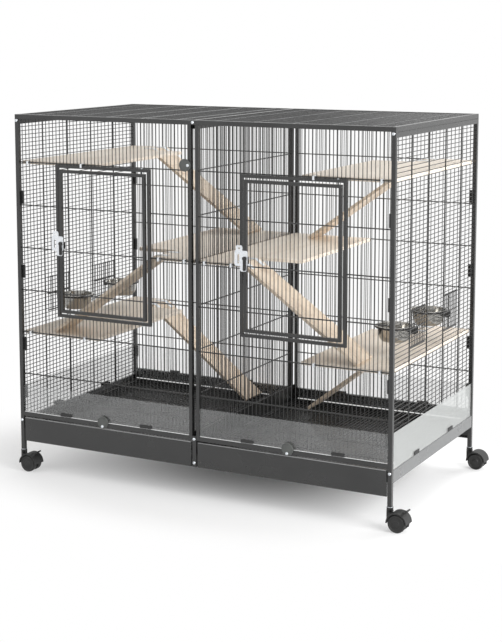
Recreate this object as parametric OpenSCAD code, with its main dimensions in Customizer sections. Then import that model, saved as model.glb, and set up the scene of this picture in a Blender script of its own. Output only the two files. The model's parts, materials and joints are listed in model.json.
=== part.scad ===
// Ferret cage on casters: two halves with a slide-in divider between them, two doors,
// two litter drawers, six wooden platforms joined by ramps, and four lift-out bowls.
// Inside the modules x runs left to right, y front to back and z up from the floor,
// and the front left corner of the frame stands at x = 0, y = 0.

/* [Frame] */
// Width over the corner posts
cage_w = 1200; // [1160:1:1300]
// Depth over the corner posts
cage_d = 650; // [620:1:700]
// Length of the corner posts
post_h = 1008; // [1000:1:1060]
// Side of the square corner tube
tube = 12; // [11:0.5:14]
// Wall of the corner tube and of the rails
tube_wall = 1.2; // [0.8:0.1:1.4]
// Width of each centre post
centre_post_w = 10; // [9:0.5:14]
// Depth of each centre post
centre_post_d = 15; // [14:0.5:18]
// Width of the slot between the centre posts
slot_w = 13; // [12:0.5:16]
// Height of the top rails
top_rail_h = 13; // [10:0.5:18]
// Height of the second member under each side top rail
side_member_h = 14; // [10:0.5:20]
// Groove between the two members of a side top rail
side_groove = 1.5; // [0.5:0.5:3]
// Height of the front bottom rails
front_rail_h = 13; // [11:0.5:16]
// Height of the folded side rails
side_rail_h = 36; // [34:1:40]
// Width of the side rails' ledges
side_ledge = 26; // [24:1:34]
// Sheet thickness of the folded rails, drawers and plates
sheet = 1.5; // [1:0.1:1.8]

/* [Grilles] */
// Diameter of the thin bars
rod_d = 2.2; // [1.8:0.1:2.6]
// Side of the square cross bars that the thin bars pass through
cross_t = 3; // [2.8:0.1:3.4]
// Spacing of the thin bars
rod_pitch = 12; // [11:0.5:14]
// Spacing of the cross bars up the front and back
cross_pitch = 127; // [125:1:129]
// Fields between the upright cross bars of each side panel
side_fields = 5; // [4:1:6]

/* [Doors] */
// Distance of each door surround from the left end of its half
surround_x = 130; // [110:1:150]
// Width over each door surround
surround_w = 319; // [300:1:340]
// Height over each door surround
surround_h = 449; // [420:1:449]
// Width of the surround's members
surround_t = 9; // [8:0.5:12]
// Depth of the surround and of the door frame
door_depth = 10; // [9.5:0.5:12]
// Gap between the door and its surround
door_gap = 5; // [4.5:0.5:7]
// Width of the door frame's members
door_t = 9; // [8.5:0.5:12]
// Distance that the door stands in front of its surround
door_proud = 4; // [3:0.5:4.5]
// Diameter of the hinge pins
pin_d = 4; // [3:0.5:4]
// Distance of the hinge axis from the door's outer edge
pin_inset = 13; // [12:0.5:16]
// Width of the latch plates
latch_w = 40; // [36:1:44]
// Height of the latch plates
latch_h = 72; // [64:1:80]

/* [Drawers and floor] */
// Height of the drawer fronts
kick_h = 72; // [68:1:74]
// Depth of the drawer trays
tray_depth = 14; // [10:1:15]
// Diameter of the turn discs
disc_d = 35; // [32:1:36]
// Thickness of the turn discs
disc_t = 5; // [4:0.5:6]
// Height of the clear litter guards
guard_h = 113; // [90:1:120]
// Thickness of the clear litter guards
guard_t = 2; // [1.5:0.5:2.5]
// Length of the panel clips
clip_l = 38; // [30:1:42]

/* [Platforms and ramps] */
// Width of each platform
platform_w = 260; // [245:1:262]
// Thickness of each platform
platform_t = 10; // [8:1:12]
// Side of the square notch at each platform's ramp corner
notch = 130; // [120:1:140]
// Horizontal run of each ramp
ramp_run = 345; // [320:1:350]
// Width of each ramp
ramp_w = 104; // [90:1:108]
// Thickness of each ramp
ramp_t = 9; // [7:1:10]
// Grooves across each ramp
ramp_grooves = 9; // [5:1:12]

/* [Bowls] */
// Diameter of the bowls below the rim
bowl_d = 98; // [90:1:104]
// Height of the bowls
bowl_h = 44; // [36:1:50]
// Width of the small grid behind each bowl
grid_w = 112; // [100:2:116]
// Height of the small grid behind each bowl
grid_h = 108; // [90:1:116]

/* [Casters] */
// Diameter of the caster wheels
wheel_d = 50; // [46:1:50]
// Width of each of a caster's twin wheels
wheel_w = 18; // [14:1:20]
// Distance of the axle behind the swivel axis
trail = 25; // [22:1:27]
// Height of the post ends above the floor
caster_h = 65; // [65:1:70]

/* [Hidden] */
$fn = 32;

// Colours
steel = [0.27, 0.27, 0.26];
light_steel = [0.55, 0.56, 0.57];
zinc = [0.8, 0.82, 0.84];
wood = [0.87, 0.79, 0.7];
ramp_wood = [0.81, 0.69, 0.56];
black = [0.13, 0.13, 0.13];
clear = [0.8, 0.84, 0.85, 0.5];

// Clearances: a turning pin, a seated piece, a sliding piece
run_gap = 0.05;
seat_gap = 0.3;
slide_gap = 2;

// The two halves of the cage, 0 on the left and 1 on the right
sides = [0, 1];
cx = cage_w / 2;
half_w = cx - slot_w / 2 - centre_post_w - tube;
half_end = tube + half_w;
function half_x(side) = side == 0 ? tube : cage_w - tube - half_w;

// Heights above the floor
top_z = caster_h + post_h;
kick_z = caster_h + 26;
kick_gap = 5;
front_rail_z = kick_z + kick_h + kick_gap;
front_grille_z = front_rail_z + front_rail_h;
side_rail_z = caster_h + 61;
side_grille_z = side_rail_z + side_rail_h;
grille_top_z = top_z - top_rail_h;
side_member_z = grille_top_z - side_groove - side_member_h;
ledge_z = side_rail_z + sheet + seat_gap + tray_depth + slide_gap;
grate_top = ledge_z + sheet + cross_t;
first_cross_z = caster_h + 106;
platform_levels = [2, 4, 6];
hook_rise = 2;
function cross_z(k) = first_cross_z + k * cross_pitch;
function platform_top(level) = cross_z(level) + cross_t / 2 + hook_rise;

// Rails are a little shallower than the posts
rail_d = tube - seat_gap;
wall_y = tube / 2;
wall_in = wall_y + cross_t / 2;
clip_t = 5;
guard_y = wall_in + seat_gap + clip_t + seat_gap;

// The centre of the footprint, casters included, is the origin
fender_gap = 1.5;
fender_t = 3;
fender_r = wheel_d / 2 + fender_gap + fender_t;
boss_d = 18;
origin = [(cage_w + trail + fender_r - boss_d / 2) / 2, cage_d / 2, 0];

// ---- shared shapes ----

module assembled() {
  translate(-origin) children();
}

module mirrored(side) {
  if (side == 0) children();
  else translate([cage_w, 0, 0]) mirror([1, 0, 0]) children();
}

module front_and_back() {
  children();
  translate([0, cage_d, 0]) mirror([0, 1, 0]) children();
}

module rod(x, z0, z1) {
  translate([x, 0, z0]) cylinder(d = rod_d, h = z1 - z0);
}

module cross_bar(x0, x1, z) {
  translate([x0, -cross_t / 2, z - cross_t / 2]) cube([x1 - x0, cross_t, cross_t]);
}

// Thin bars along z that pass through square cross bars, in the plane y = 0
module bar_panel(w, h, xs, zs) {
  for (x = xs) rod(x, 0, h);
  for (z = zs) cross_bar(0, w, z);
}

// Bar positions at one spacing along a length, centred on it
function rods(length, margin) =
  let (gaps = floor((length - 2 * margin) / rod_pitch), start = (length - gaps * rod_pitch) / 2)
  [for (i = [0 : gaps]) start + i * rod_pitch];

// Heights of the cross bars that fit between z0 and z1
function levels_between(z0, z1) =
  [for (k = [0 : floor((top_z - first_cross_z) / cross_pitch)])
    if (cross_z(k) - cross_t / 2 >= z0 && cross_z(k) + cross_t / 2 <= z1) cross_z(k)];

function shifted(values, by) = [for (v = values) v - by];

module frame_ring(w, h, t, depth) {
  difference() {
    cube([w, depth, h]);
    translate([t, -1, t]) cube([w - 2 * t, depth + 2, h - 2 * t]);
  }
}

module box_tube_x(length, depth, h) {
  difference() {
    cube([length, depth, h]);
    translate([-1, tube_wall, tube_wall]) cube([length + 2, depth - 2 * tube_wall, h - 2 * tube_wall]);
  }
}

module box_tube_y(length, w, h) {
  difference() {
    cube([w, length, h]);
    translate([tube_wall, -1, tube_wall]) cube([w - 2 * tube_wall, length + 2, h - 2 * tube_wall]);
  }
}

module rounded_rect(w, h, r) {
  for (x = [r, w - r], z = [r, h - r]) translate([x, z]) circle(r);
  translate([r, 0]) square([w - 2 * r, h]);
  translate([0, r]) square([w, h - 2 * r]);
}

// ---- screws ----

screw_d = 5;
screw_head_d = 9;
screw_head_h = 2.6;
screw_bite = 5;
post_screw_zs = [caster_h + 90, top_z - 18];
centre_screw_zs = [kick_z + 12, front_rail_z + 4];

// Pan-head screw along -y with its head seated on y = 0
module pan_screw(lift) {
  translate([0, screw_bite, 0]) rotate([90, 0, 0]) {
    cylinder(d = screw_d, h = screw_bite + lift);
    translate([0, 0, screw_bite + lift]) cylinder(d = screw_head_d, h = screw_head_h);
  }
}

module screw_hole() {
  translate([0, screw_bite + 1, 0]) rotate([90, 0, 0])
    cylinder(d = screw_d + 2 * run_gap, h = screw_bite + 2);
}

// ---- frame ----

module corner_post() {
  difference() {
    translate([0, 0, caster_h]) cube([tube, tube, post_h]);
    translate([tube_wall, tube_wall, caster_h - 1])
      cube([tube - 2 * tube_wall, tube - 2 * tube_wall, post_h - tube_wall + 1]);
    for (z = post_screw_zs) translate([tube / 2, 0, z]) screw_hole();
  }
}

module corner_posts() {
  color(steel) for (side = sides) mirrored(side) front_and_back() corner_post();
}

module centre_post(z0) {
  difference() {
    translate([half_end, 0, z0]) cube([centre_post_w, centre_post_d, grille_top_z - z0]);
    translate([divider_disc_x, 0, divider_disc_z]) screw_hole();
  }
}

module centre_posts() {
  color(steel) {
    centre_post(front_rail_z);
    mirrored(1) translate([half_end, 0, front_rail_z])
      cube([centre_post_w, centre_post_d, grille_top_z - front_rail_z]);
    for (side = sides) mirrored(side) translate([half_end, cage_d - centre_post_d, front_grille_z])
      cube([centre_post_w, centre_post_d, grille_top_z - front_grille_z]);
  }
}

module top_rails() {
  color(steel) {
    difference() {
      front_and_back()
        translate([tube, 0, grille_top_z]) box_tube_x(cage_w - 2 * tube, rail_d, top_rail_h);
      translate([cx, 0, top_z - top_rail_h / 2]) screw_hole();
      translate([cx, cage_d, top_z - top_rail_h / 2]) mirror([0, 1, 0]) screw_hole();
    }
    for (side = sides) mirrored(side) {
      length = cage_d - 2 * tube;
      translate([0, tube, grille_top_z]) box_tube_y(length, rail_d, top_rail_h);
      translate([0, tube, side_member_z]) box_tube_y(length, rail_d, side_member_h);
      translate([sheet, tube, side_member_z + side_member_h])
        cube([rail_d - 2 * sheet, length, side_groove]);
    }
  }
}

module front_bottom_rails() {
  color(steel)
    for (side = sides)
      difference() {
        translate([half_x(side), 0, front_rail_z]) box_tube_x(half_w, rail_d, front_rail_h);
        translate([drawer_disc_x[side], 0, drawer_disc_z]) screw_hole();
      }
}

// Folded side rail: outer wall, a lower ledge for the tray and an upper one for the grate
module side_rail_profile() {
  x0 = sheet + run_gap;
  square([sheet, side_rail_h]);
  translate([x0, 0]) square([side_ledge - x0, sheet]);
  translate([x0, ledge_z - side_rail_z]) square([side_ledge - x0, sheet]);
  translate([x0, side_rail_h - sheet]) square([rail_d - x0, sheet]);
}

module side_bottom_rails() {
  color(light_steel)
    for (side = sides) mirrored(side)
      translate([0, cage_d - tube, side_rail_z]) rotate([90, 0, 0])
        linear_extrude(cage_d - 2 * tube) side_rail_profile();
}

module back_plate() {
  h = front_grille_z - kick_z;
  color(steel)
    translate([tube, cage_d - rail_d, kick_z]) {
      translate([0, rail_d - sheet, 0]) cube([cage_w - 2 * tube, sheet, h]);
      for (z = [0, h - sheet]) translate([0, 0, z]) cube([cage_w - 2 * tube, rail_d, sheet]);
    }
}

// Middle rail under the divider, with ledges on both sides for the trays and grates
runner_w = 12;
runner_ledge = 14;
runner_len = cage_d - rail_d;

module centre_runner() {
  h = front_grille_z - kick_z;
  side = runner_w / 2 + run_gap;
  color(steel) {
    difference() {
      translate([cx - runner_w / 2, 0, kick_z]) cube([runner_w, runner_len, h]);
      translate([cx - runner_w / 2 + sheet, sheet, kick_z - 1])
        cube([runner_w - 2 * sheet, runner_len - 2 * sheet, h - sheet + 1]);
      for (z = centre_screw_zs) translate([cx, 0, z]) screw_hole();
    }
    for (x = [cx - side - runner_ledge, cx + side], z = [side_rail_z, ledge_z])
      translate([x, tube, z]) cube([runner_ledge, runner_len - tube - seat_gap, sheet]);
  }
}

// ---- divider ----

divider_t = 8;
divider_edge = 8;
guide_h = 12;
guide_floor = 1.5;
divider_y = centre_post_d + 5;
divider_z = front_grille_z + guide_floor + seat_gap;
divider_h = grille_top_z - guide_floor - seat_gap - divider_z;
divider_len = cage_d - divider_y - centre_post_d - slide_gap;

module guide_channel() {
  length = cage_d - 2 * rail_d;
  groove = divider_t + 4 * seat_gap;
  translate([-runner_w / 2, 0, 0])
    difference() {
      cube([runner_w, length, guide_h]);
      translate([(runner_w - groove) / 2, -1, guide_floor]) cube([groove, length + 2, guide_h]);
    }
}

module divider_guides() {
  color(steel) {
    translate([cx, rail_d, front_grille_z]) guide_channel();
    translate([cx, rail_d, grille_top_z]) mirror([0, 0, 1]) guide_channel();
    translate([cx - runner_w / 2, rail_d, grille_top_z])
      cube([runner_w, cage_d - 2 * rail_d, top_rail_h]);
  }
}

module divider_panel() {
  w = divider_len - 2 * divider_edge;
  h = divider_h - 2 * divider_edge;
  z0 = divider_z + divider_edge;
  color(steel) {
    translate([cx + divider_t / 2, divider_y, divider_z]) rotate([0, 0, 90])
      frame_ring(divider_len, divider_h, divider_edge, divider_t);
    translate([cx, divider_y + divider_edge, z0]) rotate([0, 0, 90])
      bar_panel(w, h, rods(w, rod_pitch / 2), shifted(levels_between(z0, z0 + h), z0));
  }
}

// ---- turn discs, which rest clear of what they lock ----

disc_offset = 11;
disc_ridge = 1;
disc_drop = disc_d / 2 - disc_offset;
drawer_disc_z = front_rail_z + 3.5;
drawer_disc_x = [half_x(0) + half_w / 2 - 2, half_x(1) + half_w / 2 - 8];
divider_disc_x = half_end + centre_post_w / 2 - 1.5;
divider_disc_z = caster_h + 883;

// Disc on an off-centre screw, rim away from the screw along +z
module turn_disc() {
  translate([0, -seat_gap, 0]) rotate([90, 0, 0])
    difference() {
      union() {
        translate([0, disc_offset, 0]) cylinder(d = disc_d, h = disc_t);
        translate([0, disc_offset, 0]) cylinder(d = disc_d - 6, h = disc_t + disc_ridge);
      }
      translate([0, 0, -1]) cylinder(d = screw_d + 2 * run_gap, h = disc_t + 3);
      translate([0, 0, disc_t]) cylinder(d = screw_head_d + 1, h = 3);
    }
}

module divider_disc() {
  color(black) translate([divider_disc_x, 0, divider_disc_z]) rotate([0, -90, 0]) turn_disc();
}

module drawer_disc(side) {
  color(black) translate([drawer_disc_x[side], 0, drawer_disc_z]) turn_disc();
}

module drawer_disc_left() { drawer_disc(0); }
module drawer_disc_right() { drawer_disc(1); }

module frame_screws() {
  lift = disc_t + 2 * seat_gap;
  color(zinc) {
    for (side = sides) mirrored(side) front_and_back()
      for (z = post_screw_zs) translate([tube / 2, 0, z]) pan_screw(0);
    for (z = centre_screw_zs) translate([cx, 0, z]) pan_screw(0);
    front_and_back() translate([cx, 0, top_z - top_rail_h / 2]) pan_screw(0);
    translate([divider_disc_x, 0, divider_disc_z]) pan_screw(lift);
    for (side = sides) translate([drawer_disc_x[side], 0, drawer_disc_z]) pan_screw(lift);
  }
}

// ---- wall, roof and front grilles ----

module roof_grille() {
  w = cx - runner_w / 2 - rail_d;
  d = cage_d - 2 * rail_d;
  translate([rail_d, rail_d, top_z - cross_t / 2 - 1]) rotate([90, 0, 90])
    bar_panel(d, w, rods(d, rod_pitch / 2), [for (k = [0 : 4]) w * (k + 0.5) / 5]);
}

module roof_grilles() {
  color(steel) for (side = sides) mirrored(side) roof_grille();
}

function upright_y(k) = k * cage_d / side_fields;

module side_grille() {
  h = side_member_z - side_grille_z;
  d = cage_d - 2 * tube;
  translate([wall_y, tube, side_grille_z]) rotate([0, -90, -90])
    bar_panel(h, d, rods(h, rod_pitch / 2), [for (k = [1 : side_fields - 1]) upright_y(k) - tube]);
}

module side_grille_left() { color(steel) side_grille(); }
module side_grille_right() { color(steel) mirrored(1) side_grille(); }

module back_grilles() {
  h = grille_top_z - front_grille_z;
  color(steel)
    for (side = sides)
      translate([half_x(side), cage_d - wall_y, front_grille_z])
        bar_panel(half_w, h, half_rods, shifted(levels_between(front_grille_z, grille_top_z), front_grille_z));
}

// Each front grille is four flat pieces around the door surround
surround_end = surround_x + surround_w;
surround_z = cross_z(6) - cross_t / 2 - 0.5 - surround_h;
surround_top = surround_z + surround_h;
half_rods = rods(half_w, rod_pitch / 2);
left_rods = [for (x = half_rods) if (x < surround_x - rod_d) x];
right_rods = [for (x = half_rods) if (x > surround_end + rod_d) x];
middle_rods = [for (x = half_rods) if (x >= surround_x - rod_d && x <= surround_end + rod_d) x];
seam_left = left_rods[len(left_rods) - 1] + rod_pitch / 2;
seam_right = right_rods[0] - rod_pitch / 2;
function beside_door(z) = z > surround_z && z < surround_top;

module side_strip(xs, x_end, x_seam, x_surround) {
  for (x = xs) rod(x, front_grille_z, grille_top_z);
  for (z = levels_between(front_grille_z, grille_top_z)) {
    inner = beside_door(z) ? x_surround : x_seam;
    cross_bar(min(x_end, inner), max(x_end, inner), z);
  }
}

module middle_strip(z0, z1) {
  for (x = middle_rods) rod(x, z0, z1);
  for (z = levels_between(z0, z1)) cross_bar(seam_left + seat_gap, seam_right - seat_gap, z);
}

module front_grille(side) {
  color(steel)
    translate([half_x(side), wall_y, 0]) {
      side_strip(left_rods, 0, seam_left, surround_x);
      side_strip(right_rods, half_w, seam_right, surround_end);
      middle_strip(front_grille_z, surround_z);
      middle_strip(surround_top, grille_top_z);
    }
}

module front_grille_left() { front_grille(0); }
module front_grille_right() { front_grille(1); }

// ---- doors ----

surround_y = wall_in + 0.5 - door_depth;
door_y = surround_y - door_proud;
door_x = surround_x + surround_t + door_gap;
door_z = surround_z + surround_t + door_gap;
door_w = surround_w - 2 * (surround_t + door_gap);
door_h = surround_h - 2 * (surround_t + door_gap);
hinge_x = door_x + door_w - pin_inset;
hinge_y = (surround_y + door_y + door_depth) / 2;
pin_bite = door_t - 2;
pin_l = surround_t + door_gap + pin_bite;
pin_head_d = pin_d + 2;
pin_head_h = 1.6;

module at_door(side) {
  translate([half_x(side), 0, 0]) children();
}

module door_surround(side) {
  color(steel)
    at_door(side)
      difference() {
        translate([surround_x, surround_y, surround_z])
          frame_ring(surround_w, surround_h, surround_t, door_depth);
        for (z = [surround_z, surround_top - surround_t])
          translate([hinge_x, hinge_y, z - 1]) cylinder(d = pin_d + 2 * run_gap, h = surround_t + 2);
      }
}

module door_surround_left() { door_surround(0); }
module door_surround_right() { door_surround(1); }

// A pin drops through the surround into the door's rail at top and bottom
module hinge_pin() {
  cylinder(d = pin_d, h = pin_l);
  translate([0, 0, pin_l]) cylinder(d = pin_head_d, h = pin_head_h);
}

module hinge_pins() {
  color(zinc)
    for (side = sides) at_door(side) {
      translate([hinge_x, hinge_y, surround_top - pin_l]) hinge_pin();
      translate([hinge_x, hinge_y, surround_z + pin_l]) mirror([0, 0, 1]) hinge_pin();
    }
}

latch_z = caster_h + 636;
shaft_x = door_x + door_t / 2;
shaft_d = 4;

module door(side) {
  bore_h = pin_bite + 1.5;
  w = door_w - 2 * door_t;
  h = door_h - 2 * door_t;
  z0 = door_z + door_t;
  color(steel)
    at_door(side) {
      difference() {
        translate([door_x, door_y, door_z]) frame_ring(door_w, door_h, door_t, door_depth);
        for (z = [door_z - 1, door_z + door_h - bore_h + 1])
          translate([hinge_x, hinge_y, z]) cylinder(d = pin_d + 2 * run_gap, h = bore_h);
        translate([shaft_x, door_y - 1, latch_z]) rotate([-90, 0, 0])
          cylinder(d = shaft_d + 2 * run_gap, h = door_depth + 2);
      }
      translate([door_x + door_t, door_y + door_depth / 2, z0])
        bar_panel(w, h, rods(w, rod_pitch / 2), shifted(levels_between(z0, z0 + h), z0));
    }
}

module door_left() { door(0); }
module door_right() { door(1); }

// Stamped plate on the door's stile, reaching out over the surround
latch_t = 1.5;
latch_reach = 31;

module latch_outline() {
  difference() {
    union() {
      translate([0, latch_h * 0.2]) rounded_rect(latch_w, latch_h * 0.6, 5);
      translate([latch_w * 0.42, 0]) rounded_rect(latch_w * 0.5, latch_h * 0.4, 5);
      translate([latch_w * 0.1, latch_h * 0.6]) rounded_rect(latch_w * 0.5, latch_h * 0.4, 5);
    }
    translate([latch_w * 0.35, latch_h * 0.88]) circle(d = 6);
    translate([latch_w * 0.68, latch_h * 0.09]) circle(d = 5);
    translate([latch_w * 0.22, latch_h * 0.3]) rounded_rect(6, latch_h * 0.36, 2.5);
    translate([latch_reach, latch_h / 2]) circle(d = shaft_d + 2 * run_gap);
  }
}

module latch_plate(side) {
  color(zinc)
    at_door(side)
      translate([shaft_x - latch_reach, door_y, latch_z - latch_h / 2]) rotate([90, 0, 0])
        linear_extrude(latch_t) latch_outline();
}

module latch_plate_left() { latch_plate(0); }
module latch_plate_right() { latch_plate(1); }

// Slotted handle in front, shaft through plate and stile, tongue behind the surround
handle_l = 30;
handle_t = 3;
tongue_l = 17;
tongue_t = 2;
collar_d = 8;
tongue_y = surround_y + door_depth + 1;

module latch_lever(side) {
  front_y = door_y - latch_t - seat_gap;
  collar_y = door_y + door_depth + seat_gap;
  back_y = tongue_y + tongue_t;
  color(black)
    at_door(side)
      translate([shaft_x, 0, latch_z]) {
        translate([0, back_y, 0]) rotate([90, 0, 0])
          cylinder(d = shaft_d, h = back_y - front_y + handle_t);
        translate([0, back_y, 0]) rotate([90, 0, 0]) cylinder(d = collar_d, h = back_y - collar_y);
        translate([0, back_y, 0]) rotate([90, 0, 0])
          linear_extrude(tongue_t) translate([-collar_d / 2, -tongue_l]) square([collar_d, tongue_l]);
        translate([0, front_y, 0]) rotate([90, 0, 0])
          linear_extrude(handle_t)
            difference() {
              union() {
                circle(d = 12);
                translate([-4, -handle_l]) square([8, handle_l]);
                translate([0, -handle_l]) circle(d = 8);
              }
              translate([-1.2, -handle_l + 2]) square([2.4, handle_l - 11]);
            }
      }
}

module latch_lever_left() { latch_lever(0); }
module latch_lever_right() { latch_lever(1); }

// ---- drawers ----

drawer_x = tube + 3;
drawer_end = cx - runner_w / 2 - 4;
drawer_w = drawer_end - drawer_x;
drawer_fold = 8;
tray_inset = sheet + 0.5;
tray_w = drawer_w - 2 * tray_inset;
tray_l = cage_d - rail_d - slide_gap - sheet;

// Kick plate folded back along its edges
module drawer_front() {
  y0 = sheet + run_gap;
  fold = drawer_fold - y0;
  translate([drawer_x, 0, kick_z]) {
    cube([drawer_w, sheet, kick_h]);
    for (z = [0, kick_h - sheet]) translate([0, y0, z]) cube([drawer_w, fold, sheet]);
    for (x = [0, drawer_w - sheet]) translate([x, y0, y0]) cube([sheet, fold, kick_h - 2 * y0]);
  }
}

module drawer_front_left() { color(steel) drawer_front(); }
module drawer_front_right() { color(steel) mirrored(1) drawer_front(); }

// Open tray that runs on the lower ledges, welded to the back of the kick plate
module drawer_tray() {
  wall = sheet + run_gap;
  color(steel)
    translate([drawer_x + tray_inset, sheet, side_rail_z + sheet + seat_gap]) {
      cube([tray_w, tray_l, sheet]);
      for (x = [0, tray_w - sheet]) translate([x, 0, wall]) cube([sheet, tray_l, tray_depth - wall]);
      for (y = [0, tray_l - sheet])
        translate([wall, y, wall]) cube([tray_w - 2 * wall, sheet, tray_depth - wall]);
    }
}

module drawer_tray_left() { drawer_tray(); }
module drawer_tray_right() { mirrored(1) drawer_tray(); }

// ---- floor grates, litter guards and panel clips ----

module floor_grate() {
  x0 = sheet + slide_gap;
  w = cx - runner_w / 2 - slide_gap - x0;
  y0 = tube + slide_gap;
  d = cage_d - 2 * y0;
  translate([x0, y0, ledge_z + sheet + cross_t / 2]) rotate([-90, 0, 0])
    bar_panel(w, d, rods(w, rod_pitch / 2), [for (k = [0 : 5]) cross_t / 2 + k * (d - cross_t) / 5]);
}

module floor_grates() {
  color(black) for (side = sides) mirrored(side) floor_grate();
}

module litter_guards() {
  z0 = grate_top + seat_gap;
  y1 = guard_y + guard_t + seat_gap;
  color(clear)
    for (side = sides) mirrored(side) {
      front_and_back()
        translate([guard_y, guard_y, z0]) cube([half_end - seat_gap - guard_y, guard_t, guard_h]);
      translate([guard_y, y1, z0]) cube([guard_t, cage_d - 2 * y1, guard_h]);
    }
}

clip_w = 8;
clip_zs = [176, 322, 541, 763];
rail_clip_xs = [151, 426];
side_clip_ys = [187, 457];

module panel_clips() {
  color(black)
    for (side = sides) {
      mirrored(side) front_and_back()
        for (z = clip_zs) translate([0, 0, caster_h + z - clip_l / 2]) {
          translate([tube, wall_in + seat_gap, 0]) cube([clip_w, clip_t, clip_l]);
          translate([wall_in + seat_gap, tube, 0]) cube([clip_t - 1.2, clip_w, clip_l]);
        }
      mirrored(side)
        for (y = side_clip_ys)
          translate([wall_in + seat_gap, y - clip_l / 2, side_grille_z]) cube([clip_t, clip_l, clip_w]);
      translate([half_x(side), 0, front_grille_z]) front_and_back()
        for (x = rail_clip_xs)
          translate([x - clip_l / 2, wall_in + seat_gap, 0]) cube([clip_l, clip_t, clip_w]);
    }
}

// ---- platforms, ramps and hooks ----

platform_y = centre_post_d + 0.5;
platform_d = cage_d - 2 * platform_y;
platform_x = tube + 1;
inner_platform_x = cx - divider_t / 2 - slide_gap - platform_w;
function is_outer(level) = level != 4;

// Board with its ramp notch at the back inner corner
module platform_board() {
  difference() {
    cube([platform_w, platform_d, platform_t]);
    translate([platform_w - notch, platform_d - notch, -1]) cube([notch + 1, notch + 1, platform_t + 2]);
  }
}

module platform(level) {
  z = platform_top(level) - platform_t;
  if (is_outer(level)) translate([platform_x, platform_y, z]) platform_board();
  else translate([inner_platform_x + platform_w, platform_y + platform_d, z]) rotate([0, 0, 180])
    platform_board();
}

module platforms(level) {
  color(wood) for (side = sides) mirrored(side) platform(level);
}

module top_platforms() { platforms(6); }
module middle_platforms() { platforms(4); }
module lower_platforms() { platforms(2); }

// Everything about a ramp follows from its drop and its run
ramp_side = 8;
ramp_start = 6;
strap_w = 16;
strap_t = 1.5;
strap_l = 30;
function landing(level) = level == 2 ? grate_top : platform_top(level - 2);
function slope(level) = atan((platform_top(level) - landing(level) - ramp_t) / ramp_run);
function ramp_length(level) =
  (platform_top(level) - landing(level) - ramp_t * cos(slope(level)) - seat_gap) / sin(slope(level));

// Places a ramp's upper end at the origin, running down along +x
module at_ramp(level) {
  y0 = ramp_side;
  if (is_outer(level))
    translate([platform_x + platform_w - notch, platform_y + platform_d - y0 - ramp_w, platform_top(level)])
      children();
  else
    translate([inner_platform_x + notch, platform_y + y0 + ramp_w, platform_top(level)])
      rotate([0, 0, 180]) children();
}

// Board with grooves cut across it for grip
module ramp_board(level) {
  length = ramp_length(level);
  groove = 3;
  translate([ramp_start, 0, 0]) rotate([0, slope(level), 0])
    difference() {
      translate([0, 0, -ramp_t]) cube([length, ramp_w, ramp_t]);
      for (i = [1 : ramp_grooves])
        translate([i * length / (ramp_grooves + 1), -1, -groove / 2]) cube([groove, ramp_w + 2, groove]);
    }
}

module ramps(level) {
  color(ramp_wood) for (side = sides) mirrored(side) at_ramp(level) ramp_board(level);
}

module top_ramps() { ramps(6); }
module middle_ramps() { ramps(4); }
module lower_ramps() { ramps(2); }

// Bent strap that lies on the platform and on the ramp
module ramp_strap(level) {
  a = slope(level);
  end = [ramp_start + strap_l * cos(a), -strap_l * sin(a)];
  rotate([90, 0, 0]) linear_extrude(strap_w)
    polygon([[-strap_l, 0], [ramp_start, 0], end, end + strap_t * [sin(a), cos(a)],
      [ramp_start + strap_t * tan(a / 2), strap_t], [-strap_l, strap_t]]);
}

// Hook on a platform's edge, over a cross bar and, above a door, over its surround too
hook_w = 6;
hook_t = 1.5;
hook_drop = 11;
function between_rods(x) =
  half_rods[floor((x - tube - half_rods[0]) / rod_pitch)] + tube + (rod_pitch - hook_w) / 2;
function hook_xs(level, front) =
  is_outer(level) && front ? [platform_x + 30, platform_x + platform_w - 40]
  : is_outer(level) ? [platform_x + 30, platform_x + platform_w - notch - 20]
  : front ? [inner_platform_x + notch + 20, inner_platform_x + platform_w - 30]
  : [inner_platform_x + 30, inner_platform_x + platform_w - 30];

module hook(level, over_door) {
  bar = cross_z(level) + cross_t / 2 + seat_gap;
  front_y = (over_door ? surround_y : wall_y - cross_t / 2) - seat_gap - hook_t;
  translate([0, front_y, bar]) cube([hook_w, platform_y - front_y, hook_t]);
  translate([0, front_y, bar + hook_t - hook_drop]) cube([hook_w, hook_t, hook_drop]);
  translate([0, platform_y - hook_t, platform_top(level) - platform_t])
    cube([hook_w, hook_t, bar + hook_t - platform_top(level) + platform_t]);
}

module platform_hooks() {
  color(zinc)
    for (side = sides) mirrored(side)
      for (level = platform_levels) {
        for (x = hook_xs(level, true)) translate([between_rods(x), 0, 0])
          hook(level, level == 6 && x > tube + surround_x - hook_w && x < tube + surround_end);
        for (x = hook_xs(level, false))
          translate([between_rods(x), cage_d, 0]) mirror([0, 1, 0]) hook(level, false);
        for (y = [ramp_w * 0.2, ramp_w * 0.8]) at_ramp(level) translate([0, y + strap_w / 2, 0])
          ramp_strap(level);
      }
}

// ---- bowls ----

bowl_x = 75;
rim_z = caster_h + 448;
rim_w = 5;
rim_t = 1.5;
bowl_wall = 1;
ring_wire = 5;
ring_r = bowl_d / 2 + seat_gap + ring_wire / 2;
grid_z = caster_h + 398;
grid_x = wall_in + seat_gap + cross_t / 2;

function bowl_y(row) = (upright_y(row == 0 ? 1 : side_fields - 2) + upright_y(row == 0 ? 2 : side_fields - 1)) / 2;

module at_bowl(side, row) {
  mirrored(side) translate([bowl_x, bowl_y(row), rim_z]) children();
}

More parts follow.
